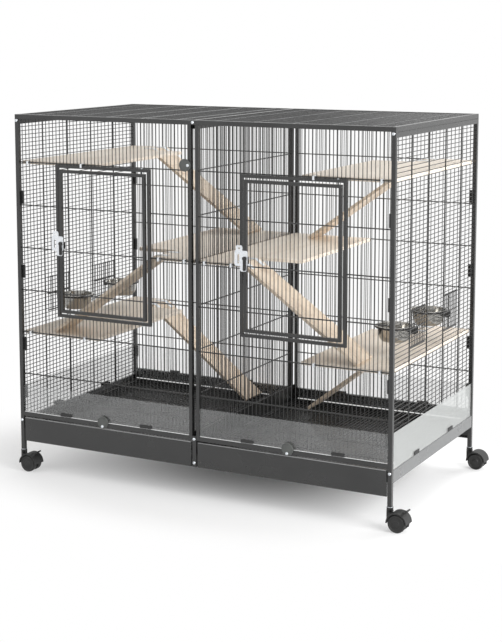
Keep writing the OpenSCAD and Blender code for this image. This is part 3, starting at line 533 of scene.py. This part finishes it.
def side_rail(side, outer, inward):
    ledge_x = outer + inward * rail_ledge
    return_x = outer + inward * rail_return
    shape = bmesh.new()
    line_along_y(shape, [(ledge_x, rail_low.z), (outer, rail_low.z), (outer, rail_high.z),
                         (return_x, rail_high.z)])
    rounded(shape, [edge for edge in shape.edges if len(edge.link_faces) == 2], bend, bend_steps)
    line_along_y(shape, [(ledge_x, grate_seat), (outer + inward * sheet_t, grate_seat)])
    middle_x, middle_z = (outer + ledge_x) / 2, (rail_low.z + rail_high.z) / 2
    for face in shape.faces:
        face.normal_update()
        centre = face.calc_center_median()
        on_ledge = abs(centre.z - grate_seat) < 1e-4
        away = Vector((0, 0, 1)) if on_ledge else Vector((centre.x - middle_x, 0, centre.z - middle_z))
        if face.normal.dot(away) < 0:
            face.normal_flip()
    # The rail's paler coat is painted light.
    thickened(finished(shape, "side_rail_" + side, painted_light_coat, "side_bottom_rails", "side_bottom_rails"))


side_rail("left", rail_low.x, 1)
side_rail("right", rail_high.x, -1)
print("side rails", round(rail_high.z - rail_low.z, 4), "m high")

# %% [markdown]
# Seen from outside, the wires lie behind the litter guards, so the sheets at the front and the sides hang
# just outside their wires. Those at the back stand inside. Along the lower edge of the back sheets and the
# foot of the front sheets lies a thin strip with a painted glow. Each sheet is a box between two corners.
# Short black clips hold its foot, placed from the end of the panel at the front and from the middle of
# the cage at the sides.

# %% Litter guards
guard_t, wire_gap, foot_gap = 0.0012, 0.0006, 0.0003
strip_t, strip_drop, strip_rise = 0.0006, 0.0002, 0.0005
back_strip_h = 0.0022
sheet_inset, strip_inset, back_strip_inset = 0.001, 0.002, 0.004
clip_half, clip_h, clip_lift, clip_round = 0.019, 0.01, 0.0004, 0.0006
front_clip_t, side_clip_t, strip_gap = 0.0015, 0.0016, 0.0001
front_clip_x, side_clip_y = (0.151, 0.426), (-0.138, 0.132)
guard_low, guard_high = (Vector(corner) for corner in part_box("litter_guards"))
front_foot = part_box("front_bottom_rails")[1][2] + foot_gap
front_clip_z = front_foot + clip_lift
side_clip_z = rail_high.z + clip_lift


def across(panel, inset, depths, heights):
    low, high = panel
    return box_between((low[0] + inset, depths[0], heights[0]), (high[0] - inset, depths[1], heights[1]))


sheets, glowing, clips = [], [], []
for room in sides:
    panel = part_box("front_grille_" + room)
    left_end, wire_front = panel[0][0], panel[0][1]
    outer = wire_front - wire_gap
    face_y = outer - guard_t
    sheets.append(across(panel, sheet_inset, (face_y, outer), (front_foot, guard_high.z)))
    glowing.append(across(panel, strip_inset, (face_y - strip_t, face_y),
                          (front_foot - strip_drop, front_foot + strip_rise)))
    inner = guard_high.y - guard_t
    sheets.append(across(panel, sheet_inset, (inner, guard_high.y), (guard_low.z, guard_high.z)))
    glowing.append(across(panel, back_strip_inset, (inner - guard_t, inner),
                          (guard_low.z, guard_low.z + back_strip_h)))
    clip_back = face_y - strip_t - strip_gap
    for along in front_clip_x:
        middle = left_end + along
        clips.append(box_between((middle - clip_half, clip_back - front_clip_t, front_clip_z),
                                 (middle + clip_half, clip_back, front_clip_z + clip_h)))
    low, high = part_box("side_grille_" + room)
    outward = 1 if room == "right" else -1
    near = (high[0] if room == "right" else low[0]) + outward * wire_gap
    far = near + outward * guard_t
    sheets.append(box_between((min(near, far), low[1], rail_high.z + foot_gap),
                              (max(near, far), high[1], guard_high.z)))
    clip_far = far + outward * side_clip_t
    for middle in side_clip_y:
        clips.append(box_between((min(far, clip_far), middle - clip_half, side_clip_z),
                                 (max(far, clip_far), middle + clip_half, side_clip_z + clip_h)))
for clip in clips:
    rounded(clip, clip.edges[:], clip_round)
finished(joined(clips), "guard_clips", black_plastic, "panel_clips")
finished(joined(sheets), "guard_sheets", clear_sheet, "litter_guards", "litter_guards")
# These strips carry the painted glow of the sheets' lower edges.
finished(joined(glowing), "guard_painted_glow", painted_glow_edge, "litter_guards")
print(len(sheets), "sheets,", len(glowing), "bright edges")

# %% [markdown]
# Five thicker rods run across each half of the roof in a paler coat, which is a painted highlight along them,
# and the kick plates get a fine pale line, a painted highlight, where their upper fold meets the gap under
# the rail.

# %% Roof rods and drawer edges, with painted highlights
rods_per_half, rod_r, rod_drop = 5, 0.0014, 0.0009
spine_w = 0.0106
low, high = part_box("roof_grilles")
half_roof = (high[0] - low[0] - spine_w) / 2
rods = []
for end_x, way in ((low[0], 1), (high[0], -1)):
    for number in range(rods_per_half):
        rod = upright_rod(rod_r, high[1] - low[1], steps=12)
        turned_about_x(rod, 90)
        inwards = half_roof * (number + 0.5) / rods_per_half
        moved(rod, (end_x + way * inwards, 0, high[2] - rod_drop))
        rods.append(rod)
# The rods' paler coat is a painted highlight.
finished(joined(rods), "roof_cross_rods", painted_light_coat, "roof_grilles")

# A pale strip along each kick plate's top fold is a painted highlight.
line_inset, line_depth, line_h, line_proud = 0.002, 0.0016, 0.0013, 0.0002
for side in sides:
    plate = low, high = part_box("drawer_front_" + side)
    line = across(plate, line_inset, (low[1] - line_proud, low[1] + line_depth),
                  (high[2] - line_h, high[2] + line_proud))
    finished(line, "drawer_highlight_" + side, painted_highlight_coat, "drawer_front_" + side)
print(len(rods), "rods on the roof")

# %% [markdown]
# Wheels and dishes are turned shapes. Half of the section is drawn as a line of points, each with its
# distance from the axis, its height and the radius of its corner. The corners are rounded while it is
# still a line, and a full spin closes it.

# %% Helpers for turned shapes
def turned(points, steps=56):
    shape = bmesh.new()
    line = [shape.verts.new((radius, 0, height)) for radius, height, corner in points]
    for one, two in zip(line, line[1:]):
        shape.edges.new((one, two))
    for vertex, (radius, height, corner) in zip(line, points):
        if corner:
            bmesh.ops.bevel(shape, geom=[vertex], offset=corner, offset_type="OFFSET", segments=3,
                            profile=0.5, affect="VERTICES", clamp_overlap=True, material=-1)
    bmesh.ops.spin(shape, geom=shape.verts[:] + shape.edges[:], cent=(0, 0, 0), axis=(0, 0, 1),
                   dvec=(0, 0, 0), angle=2 * math.pi, steps=steps, use_merge=True, use_duplicate=False)
    bmesh.ops.remove_doubles(shape, verts=shape.verts, dist=touching)
    bmesh.ops.recalc_face_normals(shape, faces=shape.faces)
    return shape


def middle_of(name):
    low, high = (Vector(corner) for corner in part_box(name))
    return (low + high) / 2, high - low


print("turned shapes ready")

# %% [markdown]
# A twin-wheel caster has two plastic wheels on one axle with the fork's web between them. Each wheel has
# a slightly crowned tread with a parting groove, and a hub cap set in a shallow dish. One wheel is turned
# and mirrored, and a short axle joins the two.

# %% Caster wheels
web_half, axle_r = 0.0034, 0.003
groove = 0.0009
dish_r_inset, dish_depth = 0.0066, 0.0019
cap_r, cap_inset = 0.0098, 0.0006


def twin_wheels(name):
    centre, size = middle_of(name)
    r, inner, outer = size.z / 2, web_half, size.y / 2
    seam, dish_floor = (inner + outer) / 2, outer - dish_depth
    section = [(0, inner, 0), (r - 0.0028, inner, 0.0006), (r - 0.0004, inner + 0.0026, 0.0012),
               (r, seam - groove, 0.0003), (r - 0.0007, seam, 0.0003), (r, seam + groove, 0.0003),
               (r - 0.0004, outer - 0.0028, 0.0012), (r - 0.0032, outer, 0.0008), (r - 0.0052, outer, 0.0006),
               (r - dish_r_inset, dish_floor, 0.0006), (cap_r, dish_floor, 0.0005),
               (cap_r - 0.0012, outer - cap_inset, 0.0005), (axle_r, outer - 0.0001, 0), (0, outer, 0)]
    wheels = []
    for degrees in (90, -90):
        wheel = turned(section)
        turned_about_x(wheel, degrees)
        wheels.append(wheel)
    axle = upright_rod(axle_r, 2 * inner + 0.002, steps=24)
    turned_about_x(axle, 90)
    shape = joined(wheels + [axle])
    moved(shape, centre)
    return finished(shape, name + "_turned", wheel_plastic, name, name)


for place in wheel_places:
    made = twin_wheels("caster_wheels_" + place)
    print(made.name, len(made.data.polygons), "faces")

# %% [markdown]
# Three round discs turn on off-centre screws and keep the divider and the drawers shut. Each is a knob
# with a soft rim, a raised face and a fine groove between them. The screw's head covers its hole.

# %% Turn discs
rim_t, rim_w, rim_round = 0.005, 0.0028, 0.0016
groove_depth = 0.0006


def turn_disc(name):
    centre, size = middle_of(name)
    r, raised = max(size.x, size.z) / 2, size.y
    groove_floor = rim_t - groove_depth
    section = [(0, 0, 0), (r, 0, 0.0004), (r, rim_t, rim_round), (r - rim_w, rim_t, 0.0003),
               (r - rim_w - 0.0002, groove_floor, 0.0002), (r - rim_w - 0.0006, groove_floor, 0.0002),
               (r - rim_w - 0.0008, raised, 0.0007), (0, raised, 0)]
    shape = turned(section, steps=64)
    turned_about_x(shape, 90)
    moved(shape, (centre.x, centre.y + size.y / 2, centre.z))
    return finished(shape, name + "_turned", disc_plastic, name, name)


for name in ("divider_disc", "drawer_disc_left", "drawer_disc_right"):
    made = turn_disc(name)
    print(made.name, len(made.data.polygons), "faces")

# %% [markdown]
# Between each post and its caster a flanged steel ring takes the load. It shows as a thin bright line
# above the black fork, so a small turned ring goes round the socket's plate, on the axis of the stem.

# %% Load rings
ring_bore, ring_r, ring_t = 0.0045, 0.0088, 0.0015
stem_inset = 0.009
post_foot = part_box("corner_posts")[0][2]
rings = []
for place in wheel_places:
    low, high = (Vector(corner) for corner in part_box("caster_fork_" + place))
    ring = turned([(ring_bore, -ring_t, 0), (ring_r, -ring_t, 0.0003), (ring_r, -0.0004, 0.0003),
                   (0.0066, 0, 0.0002), (ring_bore, 0, 0), (ring_bore, -ring_t, 0)], steps=32)
    moved(ring, (low.x + stem_inset, (low.y + high.y) / 2, post_foot))
    rings.append(ring)
finished(joined(rings), "load_rings", zinc, "frame_screws")
print("rings under posts at", round(post_foot, 4))

# %% [markdown]
# A dish is spun from one sheet of steel: a flat base with a soft corner, a steep side, and a rim that is
# rolled over so that no cut edge is left. The wall is only 1 mm thick, so the section goes round it:
# first the outside from the middle of the base up, then over the rim, then the inside back down.

# %% Dishes
wall, rim_over, base_lift = 0.001, 0.005, 0.0008


def dish(name):
    centre, size = middle_of(name)
    rim, h = size.x / 2, size.z
    r, knee = rim - rim_over, h * 0.28
    outside = [(0, base_lift, 0), (0.02, base_lift, 0.002), (0.024, 0, 0.002), (r - 0.013, 0, 0.004),
               (r - 0.005, knee, 0.006), (r - 0.0005, h - 0.0015, 0.0004)]
    rolled = [(rim - 0.0012, h - 0.0015, 0.0005), (rim, h - 0.001, 0.0004), (rim, h - 0.0003, 0.0003),
              (rim - 0.001, h, 0.0004)]
    inside = [(r - 0.0015, h - 0.0002, 0.0009), (r - 0.005 - wall, knee, 0.006),
              (r - 0.0135, wall, 0.0035), (0.024, wall, 0.002), (0.02, wall + base_lift, 0.002),
              (0, wall + base_lift, 0)]
    shape = turned(outside + rolled + inside, steps=64)
    moved(shape, (centre.x, centre.y, centre.z - h / 2))
    return finished(shape, name + "_spun", bowl_steel, name, name)


for row in ("front", "back"):
    for side in sides:
        made = dish(f"bowl_{row}_{side}")
        print(made.name, len(made.data.polygons), "faces")

# %% [markdown]
# The frame's screws have low pan heads with a six-sided socket. A head is turned, its flat top is bridged
# to a ring of six points, and that ring is pushed in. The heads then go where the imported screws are: each
# of those is one separate shell, so its own box says where its head lies and which way it faces.

# %% Screws
head_r, head_h = 0.0045, 0.0026
socket_r, socket_depth = 0.0027, 0.0018
shank_r = 0.0025


def pan_head():
    shape = turned([(head_r - 0.0006, 0, 0), (head_r, 0.0004, 0.0002), (head_r, 0.0013, 0.0007),
                    (0.0036, head_h, 0.0005), (0.0032, head_h, 0)], steps=24)
    rim = [edge for edge in shape.edges
           if edge.is_boundary and min(v.co.z for v in edge.verts) > head_h - 1e-5]
    level = Matrix.Translation((0, 0, head_h))
    points = bmesh.ops.create_circle(shape, segments=6, radius=socket_r, matrix=level)["verts"]
    mouth = list({edge for point in points for edge in point.link_edges})
    bmesh.ops.bridge_loops(shape, edges=rim + mouth)
    pushed = bmesh.ops.extrude_edge_only(shape, edges=mouth)["geom"]
    floor_verts = [item for item in pushed if isinstance(item, bmesh.types.BMVert)]
    bmesh.ops.translate(shape, vec=(0, 0, -socket_depth), verts=floor_verts)
    floor_edges = [item for item in pushed if isinstance(item, bmesh.types.BMEdge)]
    bmesh.ops.contextual_create(shape, geom=floor_edges)
    bmesh.ops.recalc_face_normals(shape, faces=shape.faces)
    return shape


def shells(shape):
    left = set(shape.verts)
    while left:
        reach = [left.pop()]
        shell = list(reach)
        while reach:
            for edge in reach.pop().link_edges:
                for vertex in edge.verts:
                    if vertex in left:
                        left.remove(vertex)
                        reach.append(vertex)
                        shell.append(vertex)
        yield shell


packed = merged_copy("frame_screws")
screws = []
for shell in shells(packed):
    low = Vector([min(v.co[axis] for v in shell) for axis in range(3)])
    high = Vector([max(v.co[axis] for v in shell) for axis in range(3)])
    faces_front = high.y < 0
    length = high.y - low.y - head_h
    shank = upright_rod(shank_r, length, steps=16)
    moved(shank, (0, 0, -length / 2))
    screw = joined([pan_head(), shank])
    turned_about_x(screw, 90 if faces_front else -90)
    seat = low.y + head_h if faces_front else high.y - head_h
    moved(screw, ((low.x + high.x) / 2, seat, (low.z + high.z) / 2))
    screws.append(screw)
packed.free()
print(len(screws), "screws")
finished(joined(screws), "pan_head_screws", zinc, "frame_screws", "frame_screws")

# %% [markdown]
# The floor is a plain pale sheet. Under and round the cage it is lit like anything else, so it keeps the
# shadow, and away from the cage's footprint it fades to the white of the background. The fade follows an
# oval, whose size in x and y is given in metres. A colour ramp ends at 1, so the distance is halved.
# What the eye sees straight or in a reflection is that white; the light that falls on the cage is set by
# the world and the lamps alone.

# %% Floor
floor_r = 14
oval_x, oval_y = 0.78, 0.46
shares_of_white = ((0.05, 0.04), (0.5, 0.42), (0.74, 1.0))


def any_ray(material, *kinds):
    rays = add(material, "ShaderNodeLightPath")
    total = rays.outputs[kinds[0]]
    for kind in kinds[1:]:
        total = maths(material, "ADD", total, rays.outputs[kind], clamp=True)
    return total


floor = bpy.data.objects.new("floor", bpy.data.meshes.new("floor"))
bpy.context.scene.collection.objects.link(floor)
disc = bmesh.new()
bmesh.ops.create_circle(disc, cap_ends=True, segments=64, radius=floor_r)
disc.to_mesh(floor.data)
disc.free()
paper, shader = new_finish("floor_paper", (0.95, 0.95, 0.95), 0.9)
shader.inputs["Specular IOR Level"].default_value = 0.1
distance = add(paper, "ShaderNodeVectorMath", operation="LENGTH")
join(paper, placed(paper, (1 / oval_x, 1 / oval_y, 1)), distance.inputs[0])
fade = add(paper, "ShaderNodeValToRGB")
fade.color_ramp.interpolation = "EASE"
fade.color_ramp.elements.new(0.5)
for stop, (place, share) in zip(fade.color_ramp.elements, shares_of_white):
    stop.position, stop.color = place, (share, share, share, 1)
join(paper, maths(paper, "MULTIPLY", distance.outputs["Value"], 0.5), fade.inputs["Fac"])
seen = any_ray(paper, "Is Camera Ray", "Is Glossy Ray")
glow = add(paper, "ShaderNodeEmission", Strength=1.0)
blend = add(paper, "ShaderNodeMixShader")
join(paper, maths(paper, "MULTIPLY", seen, fade.outputs["Color"]), blend.inputs[0])
join(paper, shader.outputs[0], blend.inputs[1])
join(paper, glow.outputs[0], blend.inputs[2])
join(paper, blend.outputs[0], paper.node_tree.nodes["Material Output"].inputs["Surface"])
bumps(paper, shader, noise(paper, placed(paper), scale=300, detail=3), distance=0.0002, strength=0.1)
floor.data.materials.append(paper)
print("floor radius", floor_r, "m")

# %% [markdown]
# The world has two backgrounds. The one that lights the cage has half the strength of white, and the one
# that is seen, straight, in a reflection or through glass, is white. Colours are shown as they are.

# %% World
world = bpy.data.worlds.new("studio")
bpy.context.scene.world = world
world.use_nodes = True
ambient = world.node_tree.nodes["Background"]
ambient.inputs["Color"].default_value = (1, 1, 1, 1)
ambient.inputs["Strength"].default_value = 0.5
white = add(world, "ShaderNodeBackground", Color=(1, 1, 1, 1), Strength=1.0)
pick = add(world, "ShaderNodeMixShader")
join(world, any_ray(world, "Is Camera Ray", "Is Glossy Ray", "Is Transmission Ray"), pick.inputs[0])
join(world, ambient.outputs[0], pick.inputs[1])
join(world, white.outputs[0], pick.inputs[2])
join(world, pick.outputs[0], world.node_tree.nodes["World Output"].inputs["Surface"])
bpy.context.scene.view_settings.view_transform = "Standard"
print("world strength", ambient.inputs["Strength"].default_value)

# %% [markdown]
# The photograph's right-hand faces are bright although their paint is dark, so a wide low lamp stands
# behind on the right. The camera looks along those faces and would see that lamp mirrored in them as
# plain white, so it is left out of reflections, and a weak lamp in the same place gives the sheen. One on
# the right lights the platforms, one above and behind throws the soft shadow towards the viewer, and a
# weak one on the left front opens the shaded front.

# %% Lamps
def soft_lamp(name, place, target, size, power, mirrored=True):
    lamp = bpy.data.objects.new(name, bpy.data.lights.new(name, "AREA"))
    bpy.context.scene.collection.objects.link(lamp)
    lamp.data.shape, lamp.data.size, lamp.data.energy = "SQUARE", size, power
    lamp.location = place
    lamp.rotation_euler = (Vector(target) - Vector(place)).to_track_quat("-Z", "Y").to_euler()
    lamp.visible_camera = False
    lamp.visible_glossy = mirrored


soft_lamp("side", (2.2, 2.7, 0.8), (0.5, 0, 0.4), size=2.6, power=105, mirrored=False)
soft_lamp("sheen", (2.2, 2.7, 0.8), (0.5, 0, 0.4), size=2.6, power=31)
soft_lamp("right", (3.4, -0.9, 2.0), (0.3, 0, 0.5), size=2.0, power=125)
soft_lamp("over", (0.2, 1.5, 3.4), (0, 0, 0.2), size=2.2, power=52)
soft_lamp("fill", (-2.6, -3.4, 2.4), (0, 0, 0.5), size=2.4, power=30)
print("lamps:", [light.name for light in bpy.data.lights])
